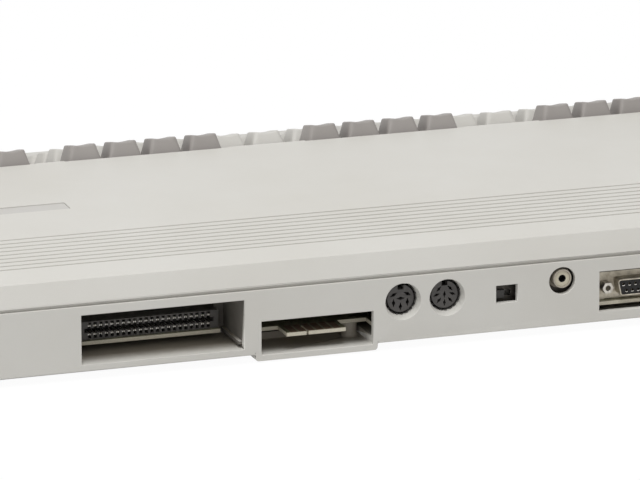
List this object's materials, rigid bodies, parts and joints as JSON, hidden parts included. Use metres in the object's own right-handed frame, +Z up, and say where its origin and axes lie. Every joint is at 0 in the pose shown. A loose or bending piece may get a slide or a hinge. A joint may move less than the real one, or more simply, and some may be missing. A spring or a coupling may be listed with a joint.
{
  "type": "home computer",
  "caption": "Wedge-shaped home computer with a built-in keyboard and keypad, grooved deck, rear sockets and edge connectors, and side switch, button and control ports.",
  "frame": {"origin": "centre of the case in plan, at the level of the desk", "axes": "+X to the right of the person typing, +Y from that person towards the rear sockets, +Z up"},
  "size_m": [0.43, 0.33, 0.056],
  "materials": {
    "case_plastic": "fine matte texture",
    "foot_rubber": "matte",
    "screw_steel": "satin",
    "nameplate_film": "satin",
    "lamp_lens": "glossy",
    "circuit_board": "satin solder mask",
    "black_plastic": "satin",
    "capacitor_sleeve": "glossy",
    "tinned_steel": "satin",
    "gold_contact": "polished",
    "cream_insulator": "satin",
    "cable_sleeve": "satin",
    "button_plastic": "satin",
    "dark_key_plastic": "fine matte texture",
    "light_key_plastic": "fine matte texture"
  },
  "bodies": {
    "computer": {"bottom_case": "case_plastic", "top_case": "case_plastic", "rubber_feet": "foot_rubber", "case_screws": "screw_steel", "nameplate": "nameplate_film", "power_lamp": "lamp_lens", "main_board": "circuit_board", "board_chips": "black_plastic", "board_capacitors": "capacitor_sleeve", "board_shield": "tinned_steel", "board_screws": "screw_steel", "slot_housing": "black_plastic", "slot_contacts": "gold_contact", "serial_socket": "black_plastic", "video_socket": "black_plastic", "socket_rings": "tinned_steel", "rf_modulator": "tinned_steel", "phono_ring": "tinned_steel", "phono_core": "cream_insulator", "monitor_shell": "tinned_steel", "monitor_insert": "black_plastic", "jack_posts": "tinned_steel", "port_shells": "tinned_steel", "port_housings": "black_plastic", "connector_pins": "gold_contact", "power_socket": "black_plastic", "power_switch_housing": "black_plastic", "reset_switch": "black_plastic", "keyboard_frame": "black_plastic", "keyboard_board": "circuit_board", "keyboard_cable": "cable_sleeve"},
    "top_key_1_body": {"top_key_1": "dark_key_plastic"},
    "top_key_2_body": {"top_key_2": "dark_key_plastic"},
    "top_key_3_body": {"top_key_3": "dark_key_plastic"},
    "top_key_4_body": {"top_key_4": "dark_key_plastic"},
    "top_key_5_body": {"top_key_5": "dark_key_plastic"},
    "top_key_6_body": {"top_key_6": "dark_key_plastic"},
    "top_key_7_body": {"top_key_7": "dark_key_plastic"},
    "top_key_8_body": {"top_key_8": "dark_key_plastic"},
    "arrow_key_up_body": {"arrow_key_up": "dark_key_plastic"},
    "arrow_key_down_body": {"arrow_key_down": "dark_key_plastic"},
    "arrow_key_left_body": {"arrow_key_left": "dark_key_plastic"},
    "arrow_key_right_body": {"arrow_key_right": "dark_key_plastic"},
    "function_key_1_body": {"function_key_1": "dark_key_plastic"},
    "function_key_2_body": {"function_key_2": "dark_key_plastic"},
    "function_key_3_body": {"function_key_3": "dark_key_plastic"},
    "function_key_4_body": {"function_key_4": "dark_key_plastic"},
    "number_keys_body": {"number_keys": "light_key_plastic"},
    "letter_keys_body": {"letter_keys": "light_key_plastic"},
    "command_keys_body": {"command_keys": "light_key_plastic"},
    "shift_lock_key_body": {"shift_lock_key": "light_key_plastic"},
    "left_shift_key_body": {"left_shift_key": "light_key_plastic"},
    "right_shift_key_body": {"right_shift_key": "light_key_plastic"},
    "return_key_body": {"return_key": "light_key_plastic"},
    "space_bar_body": {"space_bar": "light_key_plastic"},
    "keypad_keys_body": {"keypad_keys": "light_key_plastic"},
    "enter_key_body": {"enter_key": "light_key_plastic"},
    "channel_slider_body": {"channel_slider": "black_plastic"},
    "power_rocker_body": {"power_rocker": "button_plastic"},
    "reset_button_body": {"reset_button": "button_plastic"}
  },
  "joints": [
    {"name": "top_key_1_press", "type": "slide", "parent": "computer", "child": "top_key_1_body", "axis": [0, 0.2419, -0.9703], "range_m": [0, 0.0036], "stiffness_N_per_m": 100, "springref_m": -0.003},
    {"name": "top_key_2_press", "type": "slide", "parent": "computer", "child": "top_key_2_body", "axis": [0, 0.2419, -0.9703], "range_m": [0, 0.0036], "stiffness_N_per_m": 100, "springref_m": -0.003},
    {"name": "top_key_3_press", "type": "slide", "parent": "computer", "child": "top_key_3_body", "axis": [0, 0.2419, -0.9703], "range_m": [0, 0.0036], "stiffness_N_per_m": 100, "springref_m": -0.003},
    {"name": "top_key_4_press", "type": "slide", "parent": "computer", "child": "top_key_4_body", "axis": [0, 0.2419, -0.9703], "range_m": [0, 0.0036], "stiffness_N_per_m": 100, "springref_m": -0.003},
    {"name": "top_key_5_press", "type": "slide", "parent": "computer", "child": "top_key_5_body", "axis": [0, 0.2419, -0.9703], "range_m": [0, 0.0036], "stiffness_N_per_m": 100, "springref_m": -0.003},
    {"name": "top_key_6_press", "type": "slide", "parent": "computer", "child": "top_key_6_body", "axis": [0, 0.2419, -0.9703], "range_m": [0, 0.0036], "stiffness_N_per_m": 100, "springref_m": -0.003},
    {"name": "top_key_7_press", "type": "slide", "parent": "computer", "child": "top_key_7_body", "axis": [0, 0.2419, -0.9703], "range_m": [0, 0.0036], "stiffness_N_per_m": 100, "springref_m": -0.003},
    {"name": "top_key_8_press", "type": "slide", "parent": "computer", "child": "top_key_8_body", "axis": [0, 0.2419, -0.9703], "range_m": [0, 0.0036], "stiffness_N_per_m": 100, "springref_m": -0.003},
    {"name": "arrow_key_up_press", "type": "slide", "parent": "computer", "child": "arrow_key_up_body", "axis": [0, 0.2419, -0.9703], "range_m": [0, 0.0036], "stiffness_N_per_m": 100, "springref_m": -0.003},
    {"name": "arrow_key_down_press", "type": "slide", "parent": "computer", "child": "arrow_key_down_body", "axis": [0, 0.2419, -0.9703], "range_m": [0, 0.0036], "stiffness_N_per_m": 100, "springref_m": -0.003},
    {"name": "arrow_key_left_press", "type": "slide", "parent": "computer", "child": "arrow_key_left_body", "axis": [0, 0.2419, -0.9703], "range_m": [0, 0.0036], "stiffness_N_per_m": 100, "springref_m": -0.003},
    {"name": "arrow_key_right_press", "type": "slide", "parent": "computer", "child": "arrow_key_right_body", "axis": [0, 0.2419, -0.9703], "range_m": [0, 0.0036], "stiffness_N_per_m": 100, "springref_m": -0.003},
    {"name": "function_key_1_press", "type": "slide", "parent": "computer", "child": "function_key_1_body", "axis": [0, 0.2419, -0.9703], "range_m": [0, 0.0036], "stiffness_N_per_m": 100, "springref_m": -0.003},
    {"name": "function_key_2_press", "type": "slide", "parent": "computer", "child": "function_key_2_body", "axis": [0, 0.2419, -0.9703], "range_m": [0, 0.0036], "stiffness_N_per_m": 100, "springref_m": -0.003},
    {"name": "function_key_3_press", "type": "slide", "parent": "computer", "child": "function_key_3_body", "axis": [0, 0.2419, -0.9703], "range_m": [0, 0.0036], "stiffness_N_per_m": 100, "springref_m": -0.003},
    {"name": "function_key_4_press", "type": "slide", "parent": "computer", "child": "function_key_4_body", "axis": [0, 0.2419, -0.9703], "range_m": [0, 0.0036], "stiffness_N_per_m": 100, "springref_m": -0.003},
    {"name": "number_keys_press", "type": "slide", "parent": "computer", "child": "number_keys_body", "axis": [0, 0.2419, -0.9703], "range_m": [0, 0.0036], "stiffness_N_per_m": 1600, "springref_m": -0.003},
    {"name": "letter_keys_press", "type": "slide", "parent": "computer", "child": "letter_keys_body", "axis": [0, 0.2419, -0.9703], "range_m": [0, 0.0036], "stiffness_N_per_m": 3500, "springref_m": -0.003},
    {"name": "command_keys_press", "type": "slide", "parent": "computer", "child": "command_keys_body", "axis": [0, 0.2419, -0.9703], "range_m": [0, 0.0036], "stiffness_N_per_m": 600, "springref_m": -0.003},
    {"name": "shift_lock_key_press", "type": "slide", "parent": "computer", "child": "shift_lock_key_body", "axis": [0, 0.2419, -0.9703], "range_m": [0, 0.0036], "stiffness_N_per_m": 100, "springref_m": -0.003},
    {"name": "left_shift_key_press", "type": "slide", "parent": "computer", "child": "left_shift_key_body", "axis": [0, 0.2419, -0.9703], "range_m": [0, 0.0036], "stiffness_N_per_m": 100, "springref_m": -0.003},
    {"name": "right_shift_key_press", "type": "slide", "parent": "computer", "child": "right_shift_key_body", "axis": [0, 0.2419, -0.9703], "range_m": [0, 0.0036], "stiffness_N_per_m": 100, "springref_m": -0.003},
    {"name": "return_key_press", "type": "slide", "parent": "computer", "child": "return_key_body", "axis": [0, 0.2419, -0.9703], "range_m": [0, 0.0036], "stiffness_N_per_m": 100, "springref_m": -0.003},
    {"name": "space_bar_press", "type": "slide", "parent": "computer", "child": "space_bar_body", "axis": [0, 0.2419, -0.9703], "range_m": [0, 0.0036], "stiffness_N_per_m": 100, "springref_m": -0.003},
    {"name": "keypad_keys_press", "type": "slide", "parent": "computer", "child": "keypad_keys_body", "axis": [0, 0.2419, -0.9703], "range_m": [0, 0.0036], "stiffness_N_per_m": 1300, "springref_m": -0.003},
    {"name": "enter_key_press", "type": "slide", "parent": "computer", "child": "enter_key_body", "axis": [0, 0.2419, -0.9703], "range_m": [0, 0.0036], "stiffness_N_per_m": 100, "springref_m": -0.003},
    {"name": "channel_slide", "type": "slide", "parent": "computer", "child": "channel_slider_body", "axis": [-1, 0, 0], "range_m": [0, 0.0035]},
    {"name": "power_rocker_tilt", "type": "hinge", "parent": "computer", "child": "power_rocker_body", "pos_m": [0.209, 0.107, 0.019], "axis": [0, 0, 1], "range_deg": [-14, 0]},
    {"name": "reset_press", "type": "slide", "parent": "computer", "child": "reset_button_body", "axis": [-1, 0, 0], "range_m": [0, 0.0015], "stiffness_N_per_m": 400, "springref_m": -0.002}
  ]
}
